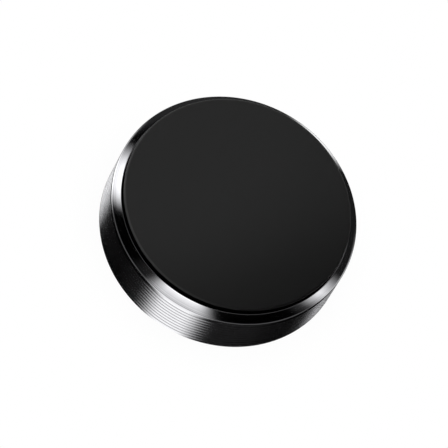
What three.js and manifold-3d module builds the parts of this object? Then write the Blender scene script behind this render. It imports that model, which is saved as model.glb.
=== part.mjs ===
// Magnetic security tag detacher: a low round puck that releases magnetic hard tags.
//
// A turned aluminium cup with a finely grooved wall and a polished chamfer carries a soft contact
// pad on its thin top web. Under the web a nylon carrier holds a core magnet pair and a ring of
// magnets on a steel yoke plate, inside a steel shield ring. A screwed base cover with a rubber
// foot closes the cup from below.
//
// Millimetres. +Z is up, along the puck's axis. The origin is the centre of the foot's underside.

import * as THREE from 'three';
import { mergeVertices } from 'three/addons/utils/BufferGeometryUtils.js';
import Module from 'manifold-3d';

const wasm = await Module();
wasm.setup();

// ---------------------------------------------------------------------------------------------
// Driving dimensions

// Facets round a full circle.
const OUTER_FACETS = 96;
const INNER_FACETS = 48;
const SMALL_FACETS = 24;

// Outer shape of the housing.
const BODY_RADIUS = 25.0;
const WALL_HEIGHT = 10.8;
const BOTTOM_BREAK = 0.15;
const SHOULDER_ROUND = 0.85;
const SHOULDER_STEPS = 4;
const CHAMFER_HEIGHT = 1.25;
const LAND_OUTER_RADIUS = 23.4;

// Fine grip grooves round the wall. Each has sloping sides and a flat floor, and the first one's
// middle is FIRST_GROOVE above the wall's lower edge.
const GROOVE_COUNT = 9;
const GROOVE_PITCH = 1.02;
const FIRST_GROOVE = 1.15;
const GROOVE_WIDTH = 0.42;
const GROOVE_FLOOR = 0.18;
const GROOVE_DEPTH = 0.15;

// Contact pad and the recess that it is glued into.
const PAD_RADIUS = 23.15;
const PAD_THICKNESS = 2.0;
const PAD_PROUD = 1.45;
const PAD_EDGE_RADIUS = 0.35;
const PAD_RECESS_RADIUS = 23.2;
const FILM_THICKNESS = 0.15;
const FILM_MARGIN = 0.3;

// Inside of the housing.
const WEB_THICKNESS = 0.8;
const BORE_RADIUS = 19.5;
const REBATE_RADIUS = 23.6;

// Base cover and foot.
const COVER_RADIUS = 23.5;
const COVER_THICKNESS = 2.0;
const FOOT_RADIUS = 18.0;
const FOOT_THICKNESS = 0.85;
const FOOT_PROUD = 0.3;
const FOOT_EDGE_BREAK = 0.15;
const FOOT_RECESS_RADIUS = 18.2;

// Magnetic circuit.
const YOKE_RADIUS = 19.3;
const YOKE_THICKNESS = 2.0;
const YOKE_EDGE_BREAK = 0.3;
const SHIELD_WALL = 1.0;
const CARRIER_RADIUS = 18.2;
const CORE_MAGNET_RADIUS = 7.0;
const CORE_MAGNET_HEIGHT = 3.0;
const RING_MAGNET_COUNT = 8;
const RING_MAGNET_RADIUS = 4.0;
const RING_MAGNET_HEIGHT = 6.0;
const RING_MAGNET_CIRCLE = 12.8;
const MAGNET_EDGE_BREAK = 0.2;
const POCKET_CLEARANCE = 0.1;
const SHIM_HOLE_RADIUS = 7.5;

// M2 x 6 countersunk screws with a hexagon socket, threaded into the housing wall.
const SCREW_COUNT = 4;
const SCREW_CIRCLE = 21.4;
const SCREW_RADIUS = 1.0;
const SCREW_LENGTH = 6.0;
const SCREW_HEAD_RADIUS = 1.9;
const SCREW_SUNK = 0.05;
const SCREW_TIP_BREAK = 0.2;
const SOCKET_CORNER_RADIUS = 0.75;
const SOCKET_DEPTH = 0.6;
const SCREW_CLEARANCE = 0.05;
const THREAD_DEPTH = 4.7;

// ---------------------------------------------------------------------------------------------
// Heights that follow from them, from the counter up

const wallBottom = FOOT_PROUD;
const coverTop = wallBottom + COVER_THICKNESS;
const stackBottom = coverTop + YOKE_THICKNESS;
const stackTop = stackBottom + RING_MAGNET_HEIGHT;
const shoulderHeight = wallBottom + WALL_HEIGHT;
const landHeight = shoulderHeight + CHAMFER_HEIGHT;
const padTop = landHeight + PAD_PROUD;
const padBottom = padTop - PAD_THICKNESS;
const webTop = padBottom - FILM_THICKNESS;
const webBottom = webTop - WEB_THICKNESS;

// ---------------------------------------------------------------------------------------------
// Materials

function material(color, roughness, metalness) {
  return new THREE.MeshStandardMaterial({ color, roughness, metalness });
}

const blackAnodised = material(0x151517, 0.3, 1.0);
const silicone = material(0x262626, 0.75, 0.0);
const footRubber = material(0x1b1b1c, 0.9, 0.0);
const filmTape = material(0xd8d2c0, 0.5, 0.0);
const mouldedNylon = material(0x2e3032, 0.6, 0.0);
const whiteNylon = material(0xe4e2da, 0.55, 0.0);
const nickelPlate = material(0xc3c1b8, 0.22, 1.0);
const zincPlatedSteel = material(0xa7adb3, 0.35, 1.0);
const blackSteel = material(0x2a2a2c, 0.4, 1.0);
const evaFoam = material(0x3a3d42, 0.95, 0.0);

// ---------------------------------------------------------------------------------------------
// Geometry helpers

// A solid of revolution about Z. The outline is a list of [radius, height] points that runs
// anticlockwise, with the radius to the right and the height up.
function revolve(outline, facets) {
  const closed = outline[0][0] === 0 ? outline : [...outline, outline[0]];
  const points = closed.map(([radius, height]) => new THREE.Vector2(radius, height));
  const geometry = new THREE.LatheGeometry(points, facets);
  geometry.rotateX(Math.PI / 2);
  return geometry;
}

// A disc on the axis, from one height to another, with both rims broken at 45 degrees.
function disc(radius, bottom, top, edgeBreak, facets) {
  const outline = [
    [0, bottom],
    [radius - edgeBreak, bottom],
    [radius, bottom + edgeBreak],
    [radius, top - edgeBreak],
    [radius - edgeBreak, top],
    [0, top],
  ];
  return revolve(outline, facets);
}

// A plain cylinder standing on its own centre line, which is at (x, y).
function post(radius, bottom, top, x, y, facets) {
  const geometry = new THREE.CylinderGeometry(radius, radius, top - bottom, facets);
  geometry.rotateX(Math.PI / 2);
  geometry.translate(x, y, (bottom + top) / 2);
  return geometry;
}

// Places on a circle about the axis: the angle of each of `count` equally spaced places.
function placesOnCircle(count, firstAngle) {
  return Array.from({ length: count }, (_, i) => firstAngle + (i * 2 * Math.PI) / count);
}

function toManifold(geometry) {
  const bare = geometry.clone();
  bare.deleteAttribute('normal');
  bare.deleteAttribute('uv');
  const merged = mergeVertices(bare, 1e-4);
  const mesh = new wasm.Mesh({
    numProp: 3,
    vertProperties: merged.attributes.position.array,
    triVerts: new Uint32Array(merged.index.array),
  });
  return new wasm.Manifold(mesh);
}

function toGeometry(solid) {
  const mesh = solid.getMesh();
  const geometry = new THREE.BufferGeometry();
  geometry.setAttribute('position', new THREE.BufferAttribute(mesh.vertProperties, 3));
  geometry.setIndex(new THREE.BufferAttribute(mesh.triVerts, 1));
  geometry.computeVertexNormals();
  return geometry;
}

// The first geometry with all the others cut out of it.
function cut(geometry, tools) {
  const solid = tools.reduce((rest, tool) => rest.subtract(toManifold(tool)), toManifold(geometry));
  return toGeometry(solid);
}

// ---------------------------------------------------------------------------------------------
// The puck

const puck = new THREE.Group();

function add(name, geometry, finish) {
  const mesh = new THREE.Mesh(geometry, finish);
  mesh.name = name;
  puck.add(mesh);
  return mesh;
}

const screwAngles = placesOnCircle(SCREW_COUNT, Math.PI / 4);
const ringMagnetAngles = placesOnCircle(RING_MAGNET_COUNT, 0);

// A cylinder at each screw's place.
function screwPosts(radius, bottom, top) {
  return screwAngles.map((angle) => {
    const x = SCREW_CIRCLE * Math.cos(angle);
    const y = SCREW_CIRCLE * Math.sin(angle);
    return post(radius, bottom, top, x, y, SMALL_FACETS);
  });
}

// The outline of the grooved wall, from its broken lower edge up to its highest groove.
function groovedWall() {
  const grooves = Array.from({ length: GROOVE_COUNT }, (_, i) => {
    const middle = wallBottom + FIRST_GROOVE + i * GROOVE_PITCH;
    return [
      [BODY_RADIUS, middle - GROOVE_WIDTH / 2],
      [BODY_RADIUS - GROOVE_DEPTH, middle - GROOVE_FLOOR / 2],
      [BODY_RADIUS - GROOVE_DEPTH, middle + GROOVE_FLOOR / 2],
      [BODY_RADIUS, middle + GROOVE_WIDTH / 2],
    ];
  });
  return [
    [BODY_RADIUS - BOTTOM_BREAK, wallBottom],
    [BODY_RADIUS, wallBottom + BOTTOM_BREAK],
    ...grooves.flat(),
  ];
}

// The rounded corner between the wall and the chamfer, which would meet at the shoulder height.
function roundedShoulder() {
  const turn = Math.atan2(BODY_RADIUS - LAND_OUTER_RADIUS, CHAMFER_HEIGHT);
  const centreRadius = BODY_RADIUS - SHOULDER_ROUND;
  const centreHeight = shoulderHeight - SHOULDER_ROUND * Math.tan(turn / 2);
  return Array.from({ length: SHOULDER_STEPS + 1 }, (_, i) => {
    const angle = (i * turn) / SHOULDER_STEPS;
    return [
      centreRadius + SHOULDER_ROUND * Math.cos(angle),
      centreHeight + SHOULDER_ROUND * Math.sin(angle),
    ];
  });
}

// The turned cup: grooved wall, rounded shoulder, polished chamfer, narrow land, pad recess, web,
// bore, and the rebate for the base cover with its four threaded holes.
function groovedHousing() {
  const outline = [
    [REBATE_RADIUS, wallBottom],
    ...groovedWall(),
    ...roundedShoulder(),
    [LAND_OUTER_RADIUS, landHeight],
    [PAD_RECESS_RADIUS, landHeight],
    [PAD_RECESS_RADIUS, webTop],
    [0, webTop],
    [0, webBottom],
    [BORE_RADIUS, webBottom],
    [BORE_RADIUS, coverTop],
    [REBATE_RADIUS, coverTop],
  ];
  const holes = screwPosts(SCREW_RADIUS + SCREW_CLEARANCE, coverTop - 1, coverTop + THREAD_DEPTH);
  return cut(revolve(outline, OUTER_FACETS), holes);
}

// The soft contact pad, with a rounded upper rim and a small break on the lower one.
function topPad() {
  const rim = new THREE.EllipseCurve(
    PAD_RADIUS - PAD_EDGE_RADIUS,
    padTop - PAD_EDGE_RADIUS,
    PAD_EDGE_RADIUS,
    PAD_EDGE_RADIUS,
    0,
    Math.PI / 2,
  );
  const rimPoints = rim.getPoints(4).map((point) => [point.x, point.y]);
  const outline = [[0, padBottom], [PAD_RADIUS, padBottom], ...rimPoints, [0, padTop]];
  return revolve(outline, OUTER_FACETS);
}

// The moulded disc that keeps the nine magnets apart, open at both ends of each pocket.
function magnetCarrier() {
  const below = stackBottom - 1;
  const above = stackTop + 1;
  const coreRadius = CORE_MAGNET_RADIUS + POCKET_CLEARANCE;
  const pocketRadius = RING_MAGNET_RADIUS + POCKET_CLEARANCE;
  const corePocket = post(coreRadius, below, above, 0, 0, INNER_FACETS);
  const ringPockets = ringMagnetAngles.map((angle) => {
    const x = RING_MAGNET_CIRCLE * Math.cos(angle);
    const y = RING_MAGNET_CIRCLE * Math.sin(angle);
    return post(pocketRadius, below, above, x, y, INNER_FACETS);
  });
  const blank = disc(CARRIER_RADIUS, stackBottom, stackTop, MAGNET_EDGE_BREAK, INNER_FACETS);
  return cut(blank, [corePocket, ...ringPockets]);
}

function shieldRing() {
  const outline = [
    [YOKE_RADIUS - SHIELD_WALL, stackBottom],
    [YOKE_RADIUS, stackBottom],
    [YOKE_RADIUS, stackTop],
    [YOKE_RADIUS - SHIELD_WALL, stackTop],
  ];
  return revolve(outline, INNER_FACETS);
}

function foamShim() {
  const outline = [
    [SHIM_HOLE_RADIUS, stackTop],
    [CARRIER_RADIUS, stackTop],
    [CARRIER_RADIUS, webBottom],
    [SHIM_HOLE_RADIUS, webBottom],
  ];
  return revolve(outline, INNER_FACETS);
}

// The base cover: a disc with a shallow recess for the foot and four countersunk holes.
function baseCover() {
  const recessTop = wallBottom + FOOT_THICKNESS - FOOT_PROUD + FILM_THICKNESS;
  const outline = [
    [0, recessTop],
    [FOOT_RECESS_RADIUS, recessTop],
    [FOOT_RECESS_RADIUS, wallBottom],
    [COVER_RADIUS, wallBottom],
    [COVER_RADIUS, coverTop],
    [0, coverTop],
  ];
  const coneRadius = SCREW_HEAD_RADIUS + SCREW_CLEARANCE;
  const holeRadius = SCREW_RADIUS + 3 * SCREW_CLEARANCE;
  const coneOutline = [
    [0, wallBottom - 1],
    [coneRadius + 1, wallBottom - 1],
    [holeRadius, wallBottom + coneRadius - holeRadius],
    [holeRadius, coverTop + 1],
    [0, coverTop + 1],
  ];
  const countersinks = screwAngles.map((angle) => {
    const tool = revolve(coneOutline, SMALL_FACETS);
    tool.translate(SCREW_CIRCLE * Math.cos(angle), SCREW_CIRCLE * Math.sin(angle), 0);
    return tool;
  });
  return cut(revolve(outline, OUTER_FACETS), countersinks);
}

// One countersunk screw, head down, on its own axis.
function coverScrew() {
  const headBottom = wallBottom + SCREW_SUNK;
  const tip = headBottom + SCREW_LENGTH;
  const outline = [
    [0, headBottom],
    [SCREW_HEAD_RADIUS, headBottom],
    [SCREW_RADIUS, headBottom + SCREW_HEAD_RADIUS - SCREW_RADIUS],
    [SCREW_RADIUS, tip - SCREW_TIP_BREAK],
    [SCREW_RADIUS - SCREW_TIP_BREAK, tip],
    [0, tip],
  ];
  const socket = post(SOCKET_CORNER_RADIUS, headBottom - 1, headBottom + SOCKET_DEPTH, 0, 0, 6);
  return cut(revolve(outline, SMALL_FACETS), [socket]);
}

// Housing and contact pad.
add('grooved_housing', groovedHousing(), blackAnodised);
add('top_pad', topPad(), silicone);
const padFilm = disc(PAD_RADIUS - FILM_MARGIN, webTop, padBottom, 0, OUTER_FACETS);
add('top_pad_adhesive', padFilm, filmTape);

// Magnetic circuit, from the yoke plate up to the foam under the web.
const yoke = disc(YOKE_RADIUS, coverTop, stackBottom, YOKE_EDGE_BREAK, INNER_FACETS);
add('yoke_plate', yoke, zincPlatedSteel);
add('shield_ring', shieldRing(), zincPlatedSteel);
add('magnet_carrier', magnetCarrier(), whiteNylon);
['lower', 'upper'].forEach((place, i) => {
  const bottom = stackBottom + i * CORE_MAGNET_HEIGHT;
  const top = bottom + CORE_MAGNET_HEIGHT;
  const magnet = disc(CORE_MAGNET_RADIUS, bottom, top, MAGNET_EDGE_BREAK, INNER_FACETS);
  add(`core_magnet_${place}`, magnet, nickelPlate);
});
ringMagnetAngles.forEach((angle, i) => {
  const magnet = disc(RING_MAGNET_RADIUS, stackBottom, stackTop, MAGNET_EDGE_BREAK, SMALL_FACETS);
  const mesh = add(`ring_magnet_${i + 1}`, magnet, nickelPlate);
  mesh.position.set(RING_MAGNET_CIRCLE * Math.cos(angle), RING_MAGNET_CIRCLE * Math.sin(angle), 0);
});
add('foam_shim', foamShim(), evaFoam);

// Base cover with its screws and foot.
add('base_cover', baseCover(), mouldedNylon);
screwAngles.forEach((angle, i) => {
  const mesh = add(`cover_screw_${i + 1}`, coverScrew(), blackSteel);
  mesh.position.set(SCREW_CIRCLE * Math.cos(angle), SCREW_CIRCLE * Math.sin(angle), 0);
});
const foot = disc(FOOT_RADIUS, 0, FOOT_THICKNESS, FOOT_EDGE_BREAK, OUTER_FACETS);
add('foot_pad', foot, footRubber);
const footFilmTop = FOOT_THICKNESS + FILM_THICKNESS;
const footFilm = disc(FOOT_RADIUS - FILM_MARGIN, FOOT_THICKNESS, footFilmTop, 0, OUTER_FACETS);
add('foot_pad_adhesive', footFilm, filmTape);

export default puck;
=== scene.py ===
"""Looks of a magnetic security tag detacher: a low grooved puck with a soft contact pad.

Everything is in metres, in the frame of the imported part: +Z up along the puck's axis, with the
origin at the centre of the foot's underside. Sizes come from the frame's own boxes, and the fine
detail that the frame doesn't hold (grooves, edge breaks, threads) is named below in millimetres.
"""

import math

import bmesh
import bpy
from mathutils import Matrix, Vector


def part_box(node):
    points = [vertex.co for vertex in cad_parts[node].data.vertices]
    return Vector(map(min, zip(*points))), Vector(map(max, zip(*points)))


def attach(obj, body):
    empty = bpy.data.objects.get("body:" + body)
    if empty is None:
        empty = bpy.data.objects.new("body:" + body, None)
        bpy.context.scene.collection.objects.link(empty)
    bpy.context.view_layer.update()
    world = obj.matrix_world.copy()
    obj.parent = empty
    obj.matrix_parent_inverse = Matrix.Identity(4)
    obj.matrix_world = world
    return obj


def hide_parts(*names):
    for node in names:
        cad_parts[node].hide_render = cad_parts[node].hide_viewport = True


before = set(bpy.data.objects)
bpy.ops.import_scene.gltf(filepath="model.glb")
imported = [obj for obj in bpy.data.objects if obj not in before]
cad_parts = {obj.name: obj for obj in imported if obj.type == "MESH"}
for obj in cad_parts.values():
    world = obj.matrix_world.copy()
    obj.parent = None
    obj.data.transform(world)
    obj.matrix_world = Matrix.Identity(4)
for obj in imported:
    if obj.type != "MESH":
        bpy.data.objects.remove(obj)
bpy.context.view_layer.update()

MM = 0.001
BODY = "root"

# ------------------------------------------------------------------------------------------
# Sizes taken from the frame

housing_low, housing_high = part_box("grooved_housing")
pad_low, pad_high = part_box("top_pad")
film_low, film_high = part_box("top_pad_adhesive")
yoke_low, yoke_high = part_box("yoke_plate")
shield_low, shield_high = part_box("shield_ring")
carrier_low, carrier_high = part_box("magnet_carrier")
shim_low, shim_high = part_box("foam_shim")
cover_low, cover_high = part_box("base_cover")
foot_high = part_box("foot_pad")[1]
foot_film_low, foot_film_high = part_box("foot_pad_adhesive")

BODY_RADIUS = housing_high.x
WALL_BOTTOM = housing_low.z
LAND_HEIGHT = housing_high.z
PAD_RADIUS = pad_high.x
PAD_TOP = pad_high.z

# ------------------------------------------------------------------------------------------
# Fine detail of the housing. The chamfer, recess, bore and grooves are sized as in the CAD.

CHAMFER_HEIGHT = 1.25 * MM
CHAMFER_WIDTH = 1.6 * MM
PAD_GAP = 0.05 * MM
BORE_WALL = 5.5 * MM
REBATE_WALL = 1.4 * MM
SHOULDER_HEIGHT = LAND_HEIGHT - CHAMFER_HEIGHT
LAND_OUTER_RADIUS = BODY_RADIUS - CHAMFER_WIDTH
RECESS_RADIUS = PAD_RADIUS + PAD_GAP
BORE_RADIUS = BODY_RADIUS - BORE_WALL
REBATE_RADIUS = BODY_RADIUS - REBATE_WALL
BOTTOM_BREAK = 0.15 * MM
EDGE_ROUND = 0.04 * MM
SHOULDER_ROUND = 0.85 * MM
LAND_ROUND = 0.12 * MM

# The chamfer's upper half bulges by a crown, at these shares of the way up it.
CHAMFER_CROWN = 0.03 * MM
CROWN_PLACES = (0.5, 0.6, 0.7, 0.8, 0.9)

# Fine grip grooves round the wall. The lowest one's middle is FIRST_GROOVE above the lower edge.
GROOVE_COUNT = 9
GROOVE_PITCH = 1.02 * MM
FIRST_GROOVE = 1.15 * MM
GROOVE_WIDTH = 0.42 * MM
GROOVE_FLOOR = 0.18 * MM
GROOVE_DEPTH = 0.15 * MM
GROOVE_ROUND = 0.06 * MM

# Contact pad, foot and cover.
PAD_RIM_ROUND = 0.35 * MM
PAD_RIM_STEPS = 10
COVER_ROUND = 0.15 * MM
COVER_HOLE_GAP = 0.15 * MM
FOOT_GAP = 0.2 * MM
FOOT_ROUND = 0.05 * MM
FOOT_GROOVE_STEP = 1.6 * MM
FOOT_GROOVE_WIDTH = 0.6 * MM
FOOT_GROOVE_DEPTH = 0.2 * MM

# Inside of the puck.
POCKET_CLEARANCE = 0.1 * MM
CARRIER_ROUND = 0.2 * MM
MAGNET_ROUND = 0.2 * MM
YOKE_ROUND = 0.3 * MM
SHIELD_WALL = 1.0 * MM
SHIELD_ROUND = 0.15 * MM
SHIM_HOLE_RADIUS = 7.5 * MM
SHIM_ROUND = 0.12 * MM

# M2 screws. A steepness of 1 would make the thread a plain zigzag, and more flattens its crests.
SCREW_RADIUS = 1.0 * MM
SCREW_HEAD_RADIUS = 1.9 * MM
SCREW_HEAD_ROUND = 0.05 * MM
SCREW_TIP_BREAK = 0.2 * MM
SCREW_GAP = 0.05 * MM
THREAD_PITCH = 0.4 * MM
THREAD_DEPTH = 0.22 * MM
THREAD_STEEPNESS = 1.25
THREAD_HOLE_DEPTH = 4.7 * MM
SOCKET_CORNER_RADIUS = 0.75 * MM
SOCKET_DEPTH = 0.6 * MM

# How far a cutter runs past the surface that it cuts.
CUTTER_OVERRUN = 1.0 * MM

TURNED_SEGMENTS = 360
MIDDLE_SEGMENTS = 180
INNER_SEGMENTS = 96
COUNTERSINK_SEGMENTS = 48
SCREW_SEGMENTS = 32
THREAD_ROWS_PER_PITCH = 8
SHARP_DEGREES = 35.0

# ------------------------------------------------------------------------------------------
# Colours and finishes. The shaders work in millimetres, so the lengths here are in millimetres.

BLACK_METAL = (0.16, 0.16, 0.165)
CHAMFER_ANISOTROPY = 0.6
WALL_ANISOTROPY = 0.6
CHAMFER_ROUGHNESS = 0.14
WALL_ROUGHNESS = 0.15
ROUGHNESS_DRIFT = 0.1
TOOL_LINE_SPACING = 0.05
RAY_ANGLE = 0.02  # radians
WEAR_SIZE = 1.7
WEAR_LIFT = 1.15
STREAK_SPACING = 0.3
# Streaks, and painted shade towards the chamfer's lower edge, darken the metal to this share.
STREAK_AND_PAINTED_SHADE = 0.72
STREAK_MARGIN = 0.1
SHOULDER_BLEND = 0.15

# Painted shade: the metal's colour is darkened in the grooves.
# The metal darkens between these depths below the wall's surface, and only below the shoulder.
PAINTED_GROOVE_SHADE = 0.5
PAINTED_GROOVE_SHADE_DEPTHS = (0.02, 0.1)
PAINTED_GROOVE_SHADE_BELOW_SHOULDER = (0.6, 0.8)

# Painted highlight: the pad's rim is lifted in brightness. Painted shade: its side is near black.
PAD_BLACK = (0.0235, 0.0235, 0.0235)
PAD_RIM_PAINTED_HIGHLIGHT = 2.8
PAD_RIM_HIGHLIGHT_BLEND = 0.1
PAD_SIDE_PAINTED_SHADE = 0.003
PAD_SIDE_BELOW_TOP = (0.36, 0.14)
PAD_SPECULAR = 0.25
PAD_RIM_SPECULAR = 0.07
PAD_DRIFT = 0.03

# ------------------------------------------------------------------------------------------
# Light. Angles are in degrees: azimuth from +X towards +Y, elevation above the horizon.

# Each soft box: azimuth, half width, edge softness, low end, high end, end softness, strength.
# It is named after the bright zone that it gives the metal in the main view, and only mirror
# rays see it. The boxes were set to suit that view.
SOFT_BOXES = {
    "front_chamfer": (-91.5, 21.4, 9.5, 4.0, 70.0, 10.0, 4.6),
    "front_wall": (-91.5, 20.6, 10.0, -85.0, -8.0, 10.0, 4.7),
    "front_chamfer_top": (-91.5, 18.0, 9.0, 50.0, 80.0, 7.0, 2.8),
    "front_left_tail": (-127.0, 6.0, 6.0, 0.0, 60.0, 8.0, 0.06),
    "left_chamfer": (167.6, 12.6, 8.5, -38.0, 38.0, 6.0, 6.8),
    "left_shoulder": (156.0, 18.0, 6.0, -44.0, -6.0, 6.0, 2.0),
    "left_wall": (115.0, 20.0, 10.0, -80.0, -42.0, 8.0, 0.5),
    "far_left_fill": (115.0, 25.0, 8.0, -25.0, 8.0, 6.0, 0.1),
    "right_wall": (81.0, 10.0, 9.0, -80.0, -46.0, 6.0, 0.5),
    "right_chamfer": (13.5, 5.5, 9.0, -15.0, 38.0, 6.0, 5.5),
    "right_chamfer_tail": (1.0, 5.0, 6.0, -15.0, 60.0, 8.0, 0.16),
    "right_shoulder": (30.0, 14.0, 8.0, -36.0, -8.0, 6.0, 2.4),
    "far_right_crescent": (81.0, 6.0, 4.5, -28.0, 0.0, 3.0, 3.8),
    "right_fill": (48.0, 24.0, 8.0, -25.0, 20.0, 6.0, 0.045),
    "wall_fill": (-30.0, 25.0, 15.0, -80.0, -52.0, 6.0, 0.05),
    "horizon_band": (-90.0, 95.0, 12.0, -30.0, -2.0, 5.0, 0.55),
}
DARK_STUDIO = 0.002
DOME_LOW = 54.0
DOME_HIGH = 60.0
DOME_STRENGTH = 0.5

# The floor glows white. Near the puck it dims to the contact shade as its open sky narrows.
FLOOR_HALF_SIZE = 3.0
CONTACT_SHADE = 0.97
CONTACT_REACH = 12 * MM
CONTACT_OPENNESS = (0.3, 0.9)

# Spot lamps high over the pad. Each one lights a disc of floor, whose edge fades across the pad.
# Per lamp: the direction of its fade, where the fade starts and ends along it, and its power.
# Places are in body radii from the axis.
PAD_LAMPS = (
    (-40.5, 0.08, 0.86, 16.7),
    (0.0, -0.1, 0.8, 6.6),
)
PAD_LAMP_HEIGHT = 40.0
PAD_LAMP_REACH = 6.0
PAD_LAMP_SIZE = 0.01  # metres

# ------------------------------------------------------------------------------------------
# Camera. Lengths are in body radii.

CAMERA_ELEVATION = 60.37
CAMERA_ROLL = 30.12
CAMERA_DISTANCE = 45.5
CAMERA_HALF_VIEW = 1.7834
CAMERA_SHIFT = (0.0217, 0.069)
SENSOR_WIDTH = 36.0  # mm, as camera lenses are given

RING_MAGNETS = [f"ring_magnet_{i}" for i in range(1, 9)]
COVER_SCREWS = [f"cover_screw_{i}" for i in range(1, 5)]


# ------------------------------------------------------------------------------------------
# Mesh helpers


def object_from_bmesh(name, bm):
    """A new object from bm, smooth shaded except across sharp edges."""
    bmesh.ops.recalc_face_normals(bm, faces=bm.faces)
    mesh = bpy.data.meshes.new(name)
    bm.to_mesh(mesh)
    bm.free()
    mesh.shade_smooth()
    mesh.set_sharp_from_angle(angle=math.radians(SHARP_DEGREES))
    obj = bpy.data.objects.new(name, mesh)
    bpy.context.scene.collection.objects.link(obj)
    return obj


def weight_normals(obj):
    """Keeps the shading of flat faces flat right up to their rounded edges."""
    modifier = obj.modifiers.new("flat_faces", "WEIGHTED_NORMAL")
    modifier.keep_sharp = True
    modifier.weight = 100


def rounded(outline, default_radius, steps=3):
    """The outline's (radius, height) corners, each turned into a small arc.

    A corner can name its own arc's radius as a third number. Points on the axis stay as they
    are, and so does a corner whose sides are too short.
    """
    count = len(outline)
    result = []
    for i, corner in enumerate(outline):
        here = Vector(corner[:2])
        radius = corner[2] if len(corner) > 2 else default_radius
        before = Vector(outline[i - 1][:2])
        after = Vector(outline[(i + 1) % count][:2])
        to_before = before - here
        to_after = after - here
        half_angle = to_before.angle(to_after) / 2
        setback = radius / math.tan(half_angle)
        too_short = 2 * setback > min(to_before.length, to_after.length)
        if here.x < 1e-9 or radius == 0.0 or too_short:
            result.append(tuple(here))
            continue
        to_before.normalize()
        to_after.normalize()
        start = here + to_before * setback
        end = here + to_after * setback
        for k in range(steps + 1):
            t = k / steps
            curve = start * (1 - t) ** 2 + here * (2 * t * (1 - t)) + end * t**2
            result.append(tuple(curve))
    return result


def ring_of_verts(bm, radius, height, segments):
    """New vertices on a level circle about Z, starting from +X."""
    step = 2 * math.pi / segments
    return [
        bm.verts.new((radius * math.cos(i * step), radius * math.sin(i * step), height))
        for i in range(segments)
    ]


def join_rings(bm, lower, upper):
    """Faces between two rings of as many vertices, either of which may be a single vertex."""
    segments = max(len(lower), len(upper))
    for i in range(segments):
        j = (i + 1) % segments
        corners = []
        for ring, k in ((lower, i), (lower, j), (upper, j), (upper, i)):
            vertex = ring[k % len(ring)]
            if vertex not in corners:
                corners.append(vertex)
        bm.faces.new(corners)


def turn_profile(bm, outline, segments, closed=True):
    """Adds the surface swept by an outline of (radius, height) points turned about Z.

    A point on the axis becomes one vertex.
    """
    rings = []
    for radius, height in outline:
        if radius < 1e-9:
            rings.append([bm.verts.new((0, 0, height))])
        else:
            rings.append(ring_of_verts(bm, radius, height, segments))
    pairs = list(zip(rings, rings[1:]))
    if closed:
        pairs.append((rings[-1], rings[0]))
    for lower, upper in pairs:
        join_rings(bm, lower, upper)


def turned_piece(name, outline, segments, edge_round=0.0, steps=3):
    """A closed piece turned from an outline of (radius, height) points."""
    bm = bmesh.new()
    points = rounded(outline, edge_round, steps) if edge_round else outline
    touches_axis = any(point[0] < 1e-9 for point in points)
    turn_profile(bm, points, segments, closed=not touches_axis)
    piece = object_from_bmesh(name, bm)
    weight_normals(piece)
    return piece


def disc_outline(radius, low, high):
    """The outline of a plain disc between two heights."""
    return [(0.0, low), (radius, low), (radius, high), (0.0, high)]


def ring_outline(inner_radius, outer_radius, low, high):
    """The outline of a plain ring between two heights."""
    return [(inner_radius, low), (outer_radius, low), (outer_radius, high), (inner_radius, high)]


def drilled(piece, cutters):
    """Cuts the cutters out of the piece's mesh, and removes them.

    The cut is made on a copy in millimetres, because the solver loses thin faces in metres.
    """
    blank = bpy.data.objects.new("blank", piece.data.copy())
    bpy.context.scene.collection.objects.link(blank)
    for obj in [blank, *cutters]:
        obj.data.transform(Matrix.Scale(1 / MM, 4))
        obj.modifiers.clear()
    for cutter in cutters:
        modifier = blank.modifiers.new("drill", "BOOLEAN")
        modifier.operation = "DIFFERENCE"
        modifier.solver = "EXACT"
        modifier.object = cutter
    graph = bpy.context.evaluated_depsgraph_get()
    mesh = bpy.data.meshes.new_from_object(blank.evaluated_get(graph))
    mesh.transform(Matrix.Scale(MM, 4))
    for obj in [blank, *cutters]:
        bpy.data.objects.remove(obj)
    mesh.name = piece.name
    mesh.shade_smooth()
    mesh.set_sharp_from_angle(angle=math.radians(SHARP_DEGREES))
    piece.data = mesh
    return piece


def moved(piece, x, y):
    """Moves the piece's mesh sideways, so that its object stays at the origin."""
    for vertex in piece.data.vertices:
        vertex.co.x += x
        vertex.co.y += y
    return piece


def centre_of(node):
    """The (x, y) of the middle of a CAD node's box."""
    low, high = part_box(node)
    return (low.x + high.x) / 2, (low.y + high.y) / 2


# ------------------------------------------------------------------------------------------
# Pieces


def grooved_wall():
    """The wall's outline, from its broken lower edge up to the shoulder."""
    points = [
        (BODY_RADIUS - BOTTOM_BREAK, WALL_BOTTOM),
        (BODY_RADIUS, WALL_BOTTOM + BOTTOM_BREAK),
    ]
    for i in range(GROOVE_COUNT):
        middle = WALL_BOTTOM + FIRST_GROOVE + i * GROOVE_PITCH
        points += [
            (BODY_RADIUS, middle - GROOVE_WIDTH / 2, GROOVE_ROUND),
            (BODY_RADIUS - GROOVE_DEPTH, middle - GROOVE_FLOOR / 2),
            (BODY_RADIUS - GROOVE_DEPTH, middle + GROOVE_FLOOR / 2),
            (BODY_RADIUS, middle + GROOVE_WIDTH / 2, GROOVE_ROUND),
        ]
    points.append((BODY_RADIUS, SHOULDER_HEIGHT, SHOULDER_ROUND))
    return points


def chamfer_crown():
    """Points on the chamfer's upper half, which make it very slightly convex."""
    low = Vector((BODY_RADIUS, SHOULDER_HEIGHT))
    high = Vector((LAND_OUTER_RADIUS, LAND_HEIGHT))
    outward = Vector((high.y - low.y, low.x - high.x)).normalized()
    points = []
    for t in CROWN_PLACES:
        bulge = 4 * t * (1 - t) * CHAMFER_CROWN
        points.append((*(low.lerp(high, t) + outward * bulge), 0.0))
    return points


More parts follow.
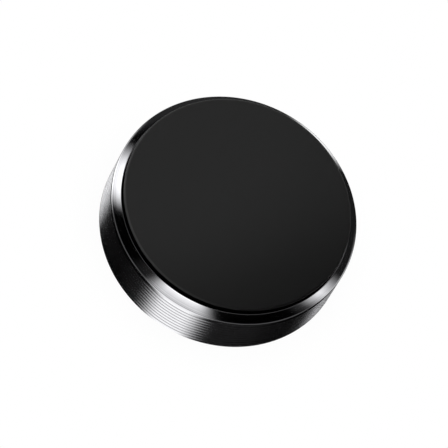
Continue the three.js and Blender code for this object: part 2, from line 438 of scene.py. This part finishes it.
def grooved_housing():
    """The turned cup, open below, with blind holes for the screws' threads."""
    outline = [
        (0.0, shim_high.z),
        (BORE_RADIUS, shim_high.z),
        (BORE_RADIUS, cover_high.z),
        (REBATE_RADIUS, cover_high.z),
        (REBATE_RADIUS, WALL_BOTTOM),
        *grooved_wall(),
        *chamfer_crown(),
        (LAND_OUTER_RADIUS, LAND_HEIGHT, LAND_ROUND),
        (RECESS_RADIUS, LAND_HEIGHT),
        (RECESS_RADIUS, film_low.z),
        (0.0, film_low.z),
    ]
    housing = turned_piece("fine_grooved_housing", outline, TURNED_SEGMENTS, EDGE_ROUND)
    hole_low = cover_high.z - CUTTER_OVERRUN
    hole_high = cover_high.z + THREAD_HOLE_DEPTH
    hole = disc_outline(SCREW_RADIUS + SCREW_GAP, hole_low, hole_high)
    cutters = [
        moved(turned_piece("hole", hole, SCREW_SEGMENTS), *centre_of(node))
        for node in COVER_SCREWS
    ]
    return drilled(housing, cutters)


def arc(centre_radius, centre_height, radius, first_degrees, last_degrees, steps):
    """Points along a circular arc in the (radius, height) plane."""
    points = []
    for i in range(steps + 1):
        turn = math.radians(first_degrees + (last_degrees - first_degrees) * i / steps)
        points.append(
            (centre_radius + radius * math.cos(turn), centre_height + radius * math.sin(turn))
        )
    return points


def contact_pad():
    """The soft pad: a broad rounding on its upper rim and a thin break on its lower one."""
    rim_centre = (PAD_RADIUS - PAD_RIM_ROUND, PAD_TOP - PAD_RIM_ROUND)
    rim = arc(*rim_centre, PAD_RIM_ROUND, 0, 90, PAD_RIM_STEPS)
    outline = [
        (0.0, pad_low.z),
        (PAD_RADIUS - EDGE_ROUND, pad_low.z),
        (PAD_RADIUS, pad_low.z + EDGE_ROUND),
        *rim,
        (PAD_RADIUS - 2 * PAD_RIM_ROUND, PAD_TOP),
        (0.0, PAD_TOP),
    ]
    return turned_piece("fine_top_pad", outline, TURNED_SEGMENTS)


def magnet_carrier():
    """The moulded disc with its nine open pockets."""
    low, high = carrier_low.z, carrier_high.z
    outline = disc_outline(carrier_high.x, low, high)
    carrier = turned_piece("fine_magnet_carrier", outline, INNER_SEGMENTS, CARRIER_ROUND)
    # Half a segment round, so that no edge of the disc meets a corner of a pocket's cutter.
    carrier.data.transform(Matrix.Rotation(math.pi / INNER_SEGMENTS, 4, "Z"))
    cutters = []
    for node in ["core_magnet_lower"] + RING_MAGNETS:
        x, y = centre_of(node)
        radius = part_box(node)[1].x - x + POCKET_CLEARANCE
        outline = disc_outline(radius, low - CUTTER_OVERRUN, high + CUTTER_OVERRUN)
        cutters.append(moved(turned_piece("pocket", outline, INNER_SEGMENTS), x, y))
    return drilled(carrier, cutters)


def magnet(node):
    """One plated disc magnet, where its CAD node is."""
    low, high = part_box(node)
    x, y = centre_of(node)
    outline = disc_outline(high.x - x, low.z, high.z)
    disc = turned_piece("fine_" + node, outline, INNER_SEGMENTS, MAGNET_ROUND, steps=4)
    return moved(disc, x, y)


def base_cover():
    """The cover: a recess for the foot and four countersunk screw holes."""
    outline = [
        (0.0, foot_film_high.z),
        (foot_high.x + FOOT_GAP, foot_film_high.z),
        (foot_high.x + FOOT_GAP, cover_low.z),
        (cover_high.x, cover_low.z),
        (cover_high.x, cover_high.z),
        (0.0, cover_high.z),
    ]
    cover = turned_piece("fine_base_cover", outline, MIDDLE_SEGMENTS, COVER_ROUND)
    hole_radius = SCREW_RADIUS + COVER_HOLE_GAP
    cone_radius = SCREW_HEAD_RADIUS + SCREW_GAP
    cone = [
        (0.0, cover_low.z - CUTTER_OVERRUN),
        (cone_radius + CUTTER_OVERRUN, cover_low.z - CUTTER_OVERRUN),
        (hole_radius, cover_low.z + cone_radius - hole_radius),
        (hole_radius, cover_high.z + CUTTER_OVERRUN),
        (0.0, cover_high.z + CUTTER_OVERRUN),
    ]
    cutters = [
        moved(turned_piece("countersink", cone, COUNTERSINK_SEGMENTS), *centre_of(node))
        for node in COVER_SCREWS
    ]
    return drilled(cover, cutters)


def thread_radius(turn, height):
    """The radius of an M2 thread at a place on the screw."""
    phase = (height / THREAD_PITCH - turn / (2 * math.pi)) % 1.0
    ridge = min(1.0, THREAD_STEEPNESS * (1 - abs(2 * phase - 1)))
    return SCREW_RADIUS - THREAD_DEPTH * (1 - ridge)


def cover_screw(node):
    """A countersunk screw, head down, with a cut thread and a hexagon socket."""
    low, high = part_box(node)
    x, y = centre_of(node)
    neck = low.z + SCREW_HEAD_RADIUS - SCREW_RADIUS
    head = [
        (SCREW_HEAD_RADIUS - SCREW_HEAD_ROUND, low.z),
        (SCREW_HEAD_RADIUS, low.z + SCREW_HEAD_ROUND),
        (SCREW_RADIUS, neck),
    ]
    bm = bmesh.new()
    rings = [[bm.verts.new((0, 0, low.z))]]
    for radius, height in head:
        rings.append(ring_of_verts(bm, radius, height, SCREW_SEGMENTS))
    thread_length = high.z - SCREW_TIP_BREAK - neck
    rows = round(thread_length / (THREAD_PITCH / THREAD_ROWS_PER_PITCH))
    for row in range(1, rows + 1):
        height = neck + thread_length * row / rows
        ring = []
        for i in range(SCREW_SEGMENTS):
            turn = 2 * math.pi * i / SCREW_SEGMENTS
            radius = thread_radius(turn, height)
            place = (radius * math.cos(turn), radius * math.sin(turn), height)
            ring.append(bm.verts.new(place))
        rings.append(ring)
    tip_radius = SCREW_RADIUS - THREAD_DEPTH - SCREW_TIP_BREAK / 2
    rings.append(ring_of_verts(bm, tip_radius, high.z, SCREW_SEGMENTS))
    rings.append([bm.verts.new((0, 0, high.z))])
    for lower, upper in zip(rings, rings[1:]):
        join_rings(bm, lower, upper)
    screw = object_from_bmesh("fine_" + node, bm)

    socket = bmesh.new()
    mouth = low.z - CUTTER_OVERRUN
    floor = low.z + SOCKET_DEPTH
    drill_point = floor + SOCKET_CORNER_RADIUS / 4
    bottom = ring_of_verts(socket, SOCKET_CORNER_RADIUS, mouth, 6)
    top = ring_of_verts(socket, SOCKET_CORNER_RADIUS, floor, 6)
    join_rings(socket, [socket.verts.new((0, 0, mouth))], bottom)
    join_rings(socket, bottom, top)
    join_rings(socket, top, [socket.verts.new((0, 0, drill_point))])
    drilled(screw, [object_from_bmesh("socket", socket)])
    return moved(screw, x, y)


def foot_pad():
    """The rubber foot, with concentric grooves in its underside."""
    outline = [(0.0, 0.0)]
    groove = FOOT_GROOVE_STEP
    while groove < foot_high.x - FOOT_GROOVE_STEP / 2:
        outline += [
            (groove - FOOT_GROOVE_WIDTH / 2, 0.0),
            (groove - FOOT_GROOVE_WIDTH / 4, FOOT_GROOVE_DEPTH),
            (groove + FOOT_GROOVE_WIDTH / 4, FOOT_GROOVE_DEPTH),
            (groove + FOOT_GROOVE_WIDTH / 2, 0.0),
        ]
        groove += FOOT_GROOVE_STEP
    outline += [(foot_high.x, 0.0), (foot_high.x, foot_high.z), (0.0, foot_high.z)]
    return turned_piece("fine_foot_pad", outline, MIDDLE_SEGMENTS, FOOT_ROUND, steps=2)


# ------------------------------------------------------------------------------------------
# Material helpers


class Shader:
    """Short-hand for building a node tree."""

    def __init__(self, tree):
        self.tree = tree

    def node(self, kind, inputs=None, **settings):
        """A new node with these settings, its inputs plugged or set."""
        made = self.tree.nodes.new(kind)
        for key, value in settings.items():
            setattr(made, key, value)
        for key, value in (inputs or {}).items():
            self.plug(value, made.inputs[key])
        return made

    def plug(self, value, socket):
        """Links another node's output to the socket, or sets the socket to a plain value."""
        if isinstance(value, bpy.types.NodeSocket):
            self.tree.links.new(value, socket)
        else:
            socket.default_value = value

    def math(self, operation, *values):
        """The result of one Math node."""
        made = self.node("ShaderNodeMath", operation=operation)
        for value, socket in zip(values, made.inputs):
            self.plug(value, socket)
        return made.outputs[0]

    def ramp(self, value, from_low, from_high, to_low=0.0, to_high=1.0):
        """value, moved smoothly from one range to another and kept inside it."""
        made = self.node("ShaderNodeMapRange", interpolation_type="SMOOTHSTEP")
        for key, number in (
            ("Value", value),
            ("From Min", from_low),
            ("From Max", from_high),
            ("To Min", to_low),
            ("To Max", to_high),
        ):
            self.plug(number, made.inputs[key])
        return made.outputs[0]

    def mix_colour(self, factor, first, second):
        """first where factor is 0, second where it is 1."""
        made = self.node("ShaderNodeMix", data_type="RGBA")
        self.plug(factor, made.inputs["Factor"])
        self.plug(first, made.inputs["A"])
        self.plug(second, made.inputs["B"])
        return made.outputs["Result"]

    def position(self):
        """Where the surface is, in the row frame, in millimetres: (vector, x, y, z)."""
        place = self.node("ShaderNodeTexCoord").outputs["Object"]
        scaled = self.node("ShaderNodeVectorMath", {0: place, "Scale": 1 / MM}, operation="SCALE")
        parts = self.node("ShaderNodeSeparateXYZ", {0: scaled.outputs[0]})
        return (scaled.outputs[0], *parts.outputs)

    def distance_from_axis(self, x, y):
        """How far a place is from the Z axis."""
        squares = self.math("ADD", self.math("POWER", x, 2.0), self.math("POWER", y, 2.0))
        return self.math("SQRT", squares)

    def noise(self, vector, size_mm, detail=2.0, roughness=0.5):
        """Soft noise from 0 to 1, with features of about size_mm."""
        made = self.node("ShaderNodeTexNoise")
        self.plug(vector, made.inputs["Vector"])
        made.inputs["Scale"].default_value = 1 / size_mm
        made.inputs["Detail"].default_value = detail
        made.inputs["Roughness"].default_value = roughness
        return made.outputs["Fac"]

    def line_noise(self, value, size, detail=1.0):
        """Noise that varies with one number only."""
        made = self.node("ShaderNodeTexNoise", noise_dimensions="1D")
        self.plug(value, made.inputs["W"])
        made.inputs["Scale"].default_value = 1 / size
        made.inputs["Detail"].default_value = detail
        return made.outputs["Fac"]

    def bump(self, height, depth_mm, strength=1.0, normal=None):
        """The normal of a surface with this relief, on top of another normal if one is given."""
        made = self.node("ShaderNodeBump")
        made.inputs["Strength"].default_value = strength
        made.inputs["Distance"].default_value = depth_mm * MM
        self.plug(height, made.inputs["Height"])
        if normal is not None:
            self.plug(normal, made.inputs["Normal"])
        return made.outputs["Normal"]


def new_material(name, colour, roughness, metallic=0.0, specular=0.5):
    """A plain material to build on, as (material, shader, principled node)."""
    material = bpy.data.materials.new(name)
    material.use_nodes = True
    material.diffuse_color = (*colour, 1.0)
    shader = Shader(material.node_tree)
    surface = material.node_tree.nodes["Principled BSDF"]
    surface.inputs["Base Color"].default_value = (*colour, 1.0)
    surface.inputs["Roughness"].default_value = roughness
    surface.inputs["Metallic"].default_value = metallic
    surface.inputs["Specular IOR Level"].default_value = specular
    return material, shader, surface


def grey(value):
    """An opaque grey."""
    return (value, value, value, 1.0)


def shade(colour, factor):
    """An opaque colour, this much brighter or darker."""
    return (*[channel * factor for channel in colour], 1.0)


# ------------------------------------------------------------------------------------------
# Materials


def turned_black_metal():
    """Black plated turned metal: a glossy chamfer, and a slightly softer grooved wall.

    The tool left lines round the axis, so a highlight spreads across them, not along them.
    """
    material, shader, surface = new_material("turned_black_metal", BLACK_METAL, 0.2, 1.0)
    place, x, y, z = shader.position()
    radius = shader.distance_from_axis(x, y)
    turn = shader.math("ARCTAN2", y, x)
    along_profile = shader.math("SUBTRACT", radius, z)
    wall_radius = BODY_RADIUS / MM
    shoulder = SHOULDER_HEIGHT / MM
    land = LAND_HEIGHT / MM

    # 1 on the grooved wall, 0 on the chamfer and everything above it.
    on_wall = shader.ramp(z, shoulder, shoulder - SHOULDER_BLEND)

    tool_lines = shader.line_noise(along_profile, TOOL_LINE_SPACING, 2.0)
    rays = shader.line_noise(turn, RAY_ANGLE, 2.0)
    cloud = shader.noise(place, WEAR_SIZE)
    smoothest_chamfer = CHAMFER_ROUGHNESS - ROUGHNESS_DRIFT / 2
    smoothest_wall = WALL_ROUGHNESS - ROUGHNESS_DRIFT / 2
    crossed = shader.math("MULTIPLY", rays, tool_lines)
    chamfer_drift = shader.math("MULTIPLY", ROUGHNESS_DRIFT, crossed)
    chamfer_roughness = shader.math("ADD", smoothest_chamfer, chamfer_drift)
    wall_drift = shader.math("MULTIPLY", ROUGHNESS_DRIFT, cloud)
    wall_roughness = shader.math("ADD", smoothest_wall, wall_drift)
    mix = shader.node("ShaderNodeMix", data_type="FLOAT")
    shader.plug(on_wall, mix.inputs["Factor"])
    shader.plug(chamfer_roughness, mix.inputs["A"])
    shader.plug(wall_roughness, mix.inputs["B"])
    shader.plug(mix.outputs["Result"], surface.inputs["Roughness"])

    wear_and_painted_shade = shader.mix_colour(cloud, shade(BLACK_METAL, 1.0), shade(BLACK_METAL, WEAR_LIFT))
    # Painted shade in the grooves below the shoulder.
    below_surface = shader.ramp(radius, *[wall_radius - depth for depth in PAINTED_GROOVE_SHADE_DEPTHS])
    below_shoulder = shader.ramp(z, *[shoulder - drop for drop in PAINTED_GROOVE_SHADE_BELOW_SHOULDER])
    painted_groove_shade = shader.math("MULTIPLY", below_surface, below_shoulder)

    # Fine turning streaks, and painted shade that grows towards the chamfer's lower edge.
    painted_shade_down_chamfer = shader.ramp(z, land - STREAK_MARGIN, shoulder + STREAK_MARGIN)
    off_wall = shader.math("SUBTRACT", 1.0, on_wall)
    streak_noise = shader.line_noise(along_profile, STREAK_SPACING, 2.0)
    streaks = shader.ramp(streak_noise, 0.3, 0.6, 0.4, 1.0)
    streaks_and_painted_shade = shader.math("MULTIPLY", shader.math("MULTIPLY", painted_shade_down_chamfer, off_wall), streaks)
    wear_and_painted_shade = shader.mix_colour(streaks_and_painted_shade, wear_and_painted_shade, shade(BLACK_METAL, STREAK_AND_PAINTED_SHADE))
    coloured = shader.mix_colour(painted_groove_shade, wear_and_painted_shade, shade(BLACK_METAL, PAINTED_GROOVE_SHADE))
    shader.plug(coloured, surface.inputs["Base Color"])

    tangent = shader.node("ShaderNodeTangent", direction_type="RADIAL", axis="Z")
    shader.plug(tangent.outputs[0], surface.inputs["Tangent"])
    surface.inputs["Anisotropic Rotation"].default_value = 0.25
    anisotropy = shader.ramp(on_wall, 0.0, 1.0, CHAMFER_ANISOTROPY, WALL_ANISOTROPY)
    shader.plug(anisotropy, surface.inputs["Anisotropic"])

    fine = shader.noise(place, 0.12, 3.0)
    lines = shader.bump(tool_lines, 0.0008, 0.5)
    ray_tilt = shader.bump(rays, 0.001, 0.3, lines)
    shader.plug(shader.bump(fine, 0.0003, 0.3, ray_tilt), surface.inputs["Normal"])
    return material


def soft_touch_silicone():
    """Fine-grained matte black silicone: a painted rim highlight and painted shade on its side.
    """
    material, shader, surface = new_material("soft_touch_silicone", PAD_BLACK, 0.55)
    place, x, y, z = shader.position()
    radius = shader.distance_from_axis(x, y)
    rim_start = (PAD_RADIUS - PAD_RIM_ROUND) / MM
    on_rim = shader.ramp(radius, rim_start - PAD_RIM_HIGHLIGHT_BLEND, rim_start + PAD_RIM_HIGHLIGHT_BLEND)
    above_side = shader.ramp(z, *[PAD_TOP / MM - drop for drop in PAD_SIDE_BELOW_TOP])
    rim = shader.math("MULTIPLY", on_rim, above_side)
    drift = shader.noise(place, 9.0)
    darkest, lightest = shade(PAD_BLACK, 1 - PAD_DRIFT), shade(PAD_BLACK, 1 + PAD_DRIFT)
    body = shader.mix_colour(drift, darkest, lightest)
    # Painted highlight on the rim.
    top_and_painted_highlight = shader.mix_colour(rim, body, shade(PAD_BLACK, PAD_RIM_PAINTED_HIGHLIGHT))
    # Painted shade on the side, near black.
    coloured = shader.mix_colour(above_side, grey(PAD_SIDE_PAINTED_SHADE), top_and_painted_highlight)
    shader.plug(coloured, surface.inputs["Base Color"])
    shine = shader.ramp(rim, 0.0, 1.0, PAD_SPECULAR, PAD_RIM_SPECULAR)
    shine = shader.math("MULTIPLY", above_side, shine)
    shader.plug(shine, surface.inputs["Specular IOR Level"])
    grain = shader.noise(place, 0.09, 2.0)
    shader.plug(shader.ramp(grain, 0.3, 0.7, 0.5, 0.6), surface.inputs["Roughness"])
    shader.plug(shader.bump(grain, 0.002, 0.25), surface.inputs["Normal"])
    return material


def grip_rubber():
    """The foot's matte rubber, with a coarser grain than the pad."""
    material, shader, surface = new_material("grip_rubber", (0.012, 0.012, 0.013), 0.8, 0.0, 0.3)
    place = shader.position()[0]
    grain = shader.noise(place, 0.15, 4.0, 0.6)
    dust = shader.noise(place, 4.0, 4.0, 0.6)
    shader.plug(
        shader.mix_colour(shader.ramp(dust, 0.45, 0.75), grey(0.011), grey(0.02)),
        surface.inputs["Base Color"],
    )
    shader.plug(shader.bump(grain, 0.02, 0.5), surface.inputs["Normal"])
    return material


def film_tape():
    """Double-sided film: warm translucent white with a faint fibre pattern."""
    material, shader, surface = new_material("film_tape", (0.68, 0.64, 0.52), 0.45, 0.0, 0.5)
    place = shader.position()[0]
    fibres = shader.noise(place, 0.4, 5.0, 0.7)
    shader.plug(
        shader.mix_colour(fibres, (0.62, 0.58, 0.46, 1.0), (0.74, 0.7, 0.58, 1.0)),
        surface.inputs["Base Color"],
    )
    surface.inputs["Subsurface Weight"].default_value = 0.2
    surface.inputs["Subsurface Radius"].default_value = (0.3 * MM, 0.25 * MM, 0.15 * MM)
    shader.plug(shader.bump(fibres, 0.01, 0.4), surface.inputs["Normal"])
    return material


def moulded_nylon(name, colour, texture_mm):
    """Moulded nylon with a spark-eroded texture and slight flow marks."""
    material, shader, surface = new_material(name, colour, 0.5, 0.0, 0.45)
    place = shader.position()[0]
    pits = shader.noise(place, texture_mm, 3.0, 0.6)
    flow = shader.noise(place, 6.0, 3.0, 0.5)
    coloured = shader.mix_colour(flow, shade(colour, 0.9), shade(colour, 1.1))
    shader.plug(coloured, surface.inputs["Base Color"])
    shader.plug(shader.ramp(pits, 0.2, 0.8, 0.42, 0.62), surface.inputs["Roughness"])
    shader.plug(shader.bump(pits, 0.012, 0.5), surface.inputs["Normal"])
    return material


def nickel_plate():
    """Bright nickel on a sintered magnet: faint mottling and a few fine handling marks."""
    material, shader, surface = new_material("nickel_plate", (0.56, 0.54, 0.48), 0.18, 1.0)
    place = shader.position()[0]
    mottle = shader.noise(place, 1.2, 4.0, 0.6)
    marks = shader.noise(place, 0.25, 6.0, 0.8)
    shader.plug(
        shader.mix_colour(mottle, (0.5, 0.48, 0.43, 1.0), (0.62, 0.6, 0.54, 1.0)),
        surface.inputs["Base Color"],
    )
    shader.plug(shader.ramp(marks, 0.4, 0.75, 0.14, 0.32), surface.inputs["Roughness"])
    shader.plug(shader.bump(mottle, 0.003, 0.4), surface.inputs["Normal"])
    return material


def zinc_steel():
    """Turned mild steel under clear zinc: lathe lines, with a faint blue and yellow bloom."""
    material, shader, surface = new_material("zinc_steel", (0.4, 0.43, 0.46), 0.32, 1.0)
    place, x, y, z = shader.position()
    radius = shader.distance_from_axis(x, y)
    lines = shader.line_noise(shader.math("SUBTRACT", radius, z), 0.12, 2.0)
    bloom = shader.noise(place, 5.0, 3.0)
    shader.plug(
        shader.mix_colour(bloom, (0.38, 0.42, 0.47, 1.0), (0.46, 0.45, 0.4, 1.0)),
        surface.inputs["Base Color"],
    )
    shader.plug(shader.ramp(lines, 0.3, 0.7, 0.26, 0.4), surface.inputs["Roughness"])
    shader.plug(shader.bump(lines, 0.006, 0.5), surface.inputs["Normal"])
    return material


def black_steel():
    """Black oxide screws: dark satin steel, rubbed brighter here and there."""
    material, shader, surface = new_material("black_steel", (0.03, 0.03, 0.033), 0.38, 1.0)
    place = shader.position()[0]
    rubbed = shader.noise(place, 0.5, 4.0, 0.7)
    rubbed_through = shader.ramp(rubbed, 0.5, 0.8)
    shader.plug(
        shader.mix_colour(rubbed_through, (0.03, 0.03, 0.033, 1.0), (0.12, 0.12, 0.125, 1.0)),
        surface.inputs["Base Color"],
    )
    shader.plug(shader.ramp(rubbed, 0.3, 0.8, 0.45, 0.28), surface.inputs["Roughness"])
    shader.plug(shader.bump(rubbed, 0.004, 0.4), surface.inputs["Normal"])
    return material


def eva_foam():
    """Closed-cell foam: small rounded cells in dark grey."""
    material, shader, surface = new_material("eva_foam", (0.045, 0.05, 0.058), 0.9, 0.0, 0.2)
    place = shader.position()[0]
    cells = shader.node("ShaderNodeTexVoronoi", {"Vector": place, "Scale": 1 / 0.25})
    shade = shader.ramp(cells.outputs["Distance"], 0.1, 0.7)
    shader.plug(
        shader.mix_colour(shade, (0.035, 0.04, 0.047, 1.0), (0.06, 0.065, 0.073, 1.0)),
        surface.inputs["Base Color"],
    )
    shader.plug(shader.bump(shade, 0.05, 0.6), surface.inputs["Normal"])
    return material


# ------------------------------------------------------------------------------------------
# Assembly


def place_piece(piece, node, material):
    """The piece stands for a CAD node, which it hides, rides on the body, and takes the given
    material.
    """
    piece.data.materials.clear()
    piece.data.materials.append(material)
    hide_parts(node)
    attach(piece, BODY)
    return piece


film = film_tape()
steel = zinc_steel()
nickel = nickel_plate()
oxide = black_steel()

place_piece(grooved_housing(), "grooved_housing", turned_black_metal())
place_piece(contact_pad(), "top_pad", soft_touch_silicone())
pad_film = disc_outline(film_high.x, film_low.z, film_high.z)
place_piece(
    turned_piece("fine_top_pad_adhesive", pad_film, MIDDLE_SEGMENTS), "top_pad_adhesive", film
)

yoke = disc_outline(yoke_high.x, yoke_low.z, yoke_high.z)
yoke_piece = turned_piece("fine_yoke_plate", yoke, MIDDLE_SEGMENTS, YOKE_ROUND, steps=4)
place_piece(yoke_piece, "yoke_plate", steel)
shield = ring_outline(shield_high.x - SHIELD_WALL, shield_high.x, shield_low.z, shield_high.z)
shield_piece = turned_piece("fine_shield_ring", shield, MIDDLE_SEGMENTS, SHIELD_ROUND)
place_piece(shield_piece, "shield_ring", steel)
white_nylon = moulded_nylon("white_nylon", (0.77, 0.76, 0.7), 0.3)
place_piece(magnet_carrier(), "magnet_carrier", white_nylon)
for node in ["core_magnet_lower", "core_magnet_upper"] + RING_MAGNETS:
    place_piece(magnet(node), node, nickel)
shim = ring_outline(SHIM_HOLE_RADIUS, shim_high.x, shim_low.z, shim_high.z)
shim_piece = turned_piece("fine_foam_shim", shim, MIDDLE_SEGMENTS, SHIM_ROUND)
place_piece(shim_piece, "foam_shim", eva_foam())

black_nylon = moulded_nylon("black_nylon", (0.028, 0.03, 0.032), 0.12)
place_piece(base_cover(), "base_cover", black_nylon)
for node in COVER_SCREWS:
    place_piece(cover_screw(node), node, oxide)
place_piece(foot_pad(), "foot_pad", grip_rubber())
foot_film = disc_outline(foot_film_high.x, foot_film_low.z, foot_film_high.z)
place_piece(
    turned_piece("fine_foot_pad_adhesive", foot_film, MIDDLE_SEGMENTS), "foot_pad_adhesive", film
)


# ------------------------------------------------------------------------------------------
# Floor, surroundings, lamps and camera


def white_floor():
    """A self-lit white floor with a soft contact shade. The metal doesn't mirror it."""
    size = FLOOR_HALF_SIZE
    bm = bmesh.new()
    corners = [(-size, -size), (size, -size), (size, size), (-size, size)]
    bm.faces.new([bm.verts.new((x, y, 0.0)) for x, y in corners])
    floor = object_from_bmesh("floor", bm)
    material, shader, _ = new_material("floor_white", (1.0, 1.0, 1.0), 0.9)
    occlusion = shader.node("ShaderNodeAmbientOcclusion", {"Distance": CONTACT_REACH}, samples=8)
    light = shader.ramp(occlusion.outputs["AO"], *CONTACT_OPENNESS, CONTACT_SHADE, 1.0)
    glow = shader.node("ShaderNodeEmission", {"Color": grey(1.0), "Strength": light})
    output = material.node_tree.nodes["Material Output"]
    shader.plug(glow.outputs[0], output.inputs["Surface"])
    floor.data.materials.append(material)
    floor.visible_glossy = False
    floor.visible_diffuse = False
    floor.visible_shadow = False


def soft_box(shader, azimuth, elevation, box):
    """How bright one soft box looks in a direction, both angles in degrees."""
    middle, half_width, edge, low, high, end, strength = box
    turned = shader.math("WRAP", shader.math("SUBTRACT", azimuth, middle), 180.0, -180.0)
    away = shader.math("ABSOLUTE", turned)
    across = shader.ramp(away, half_width + edge, half_width - edge)
    above_low = shader.ramp(elevation, low - end, low + end)
    below_high = shader.ramp(elevation, high + end, high - end)
    inside = shader.math("MULTIPLY", across, shader.math("MULTIPLY", above_low, below_high))
    return shader.math("MULTIPLY", inside, strength)


def surroundings():
    """The camera sees plain white, and the metal mirrors a dark studio with soft boxes.

    No other light comes from here, so only the lamps light what is matte.
    """
    world = bpy.data.worlds.new("studio")
    bpy.context.scene.world = world
    world.use_nodes = True
    world.cycles.sampling_method = "NONE"
    tree = world.node_tree
    tree.nodes.clear()
    shader = Shader(tree)
    direction = shader.node("ShaderNodeTexCoord").outputs["Generated"]
    x, y, z = shader.node("ShaderNodeSeparateXYZ", {0: direction}).outputs
    to_degrees = 180 / math.pi
    azimuth = shader.math("MULTIPLY", shader.math("ARCTAN2", y, x), to_degrees)
    elevation = shader.math("MULTIPLY", shader.math("ARCSINE", z), to_degrees)
    studio = shader.ramp(elevation, DOME_LOW, DOME_HIGH, DARK_STUDIO, DOME_STRENGTH)
    for box in SOFT_BOXES.values():
        studio = shader.math("ADD", studio, soft_box(shader, azimuth, elevation, box))

    path = shader.node("ShaderNodeLightPath").outputs
    mirrored = shader.math("MULTIPLY", studio, path["Is Glossy Ray"])
    total = shader.math("ADD", path["Is Camera Ray"], mirrored)
    background = shader.node("ShaderNodeBackground", {"Color": grey(1.0), "Strength": total})
    output = shader.node("ShaderNodeOutputWorld")
    shader.plug(background.outputs[0], output.inputs["Surface"])


def pad_lamp(direction, start, end, power):
    """A lamp high over the pad, whose disc of light fades out in one direction."""
    turn = math.radians(direction)
    lamp = bpy.data.lights.new("pad_lamp", "SPOT")
    lamp.energy = power
    lamp.shadow_soft_size = PAD_LAMP_SIZE
    full = PAD_LAMP_REACH + start
    edge = PAD_LAMP_REACH + end
    lamp.spot_size = 2 * math.atan(edge / PAD_LAMP_HEIGHT)
    lamp.spot_blend = spot_blend(full / PAD_LAMP_HEIGHT, edge / PAD_LAMP_HEIGHT)
    obj = bpy.data.objects.new("pad_lamp", lamp)
    obj.location = (
        -PAD_LAMP_REACH * BODY_RADIUS * math.cos(turn),
        -PAD_LAMP_REACH * BODY_RADIUS * math.sin(turn),
        PAD_TOP + PAD_LAMP_HEIGHT * BODY_RADIUS,
    )
    obj.visible_glossy = False
    obj.visible_camera = False
    bpy.context.scene.collection.objects.link(obj)


def spot_blend(full_slope, edge_slope):
    """The blend setting of a spot lamp that is at full strength out to full_slope."""
    full = 1 / math.hypot(1, full_slope)
    edge = 1 / math.hypot(1, edge_slope)
    return (full - edge) / (1 - edge)


def studio_camera():
    """A long lens that looks down on the puck, rolled, with the puck a little off centre."""
    elevation = math.radians(CAMERA_ELEVATION)
    roll = math.radians(CAMERA_ROLL)
    forward = Vector((0.0, math.cos(elevation), -math.sin(elevation)))
    level = Vector((1.0, 0.0, 0.0))
    upright = level.cross(forward)
    right = math.cos(roll) * level + math.sin(roll) * upright
    up = -math.sin(roll) * level + math.cos(roll) * upright
    target = Vector((0, 0, WALL_BOTTOM))
    target += (right * CAMERA_SHIFT[0] + up * CAMERA_SHIFT[1]) * BODY_RADIUS
    camera = bpy.data.cameras.new("camera")
    camera.sensor_width = SENSOR_WIDTH
    camera.lens = camera.sensor_width / (2 * CAMERA_HALF_VIEW / CAMERA_DISTANCE)
    obj = bpy.data.objects.new("camera", camera)
    axes = Matrix((right, up, -forward)).transposed()
    obj.matrix_world = Matrix.Translation(
        target - forward * CAMERA_DISTANCE * BODY_RADIUS
    ) @ axes.to_4x4()
    bpy.context.scene.collection.objects.link(obj)
    bpy.context.scene.camera = obj


white_floor()
surroundings()
for lamp in PAD_LAMPS:
    pad_lamp(*lamp)
studio_camera()
bpy.context.scene.view_settings.view_transform = "Standard"
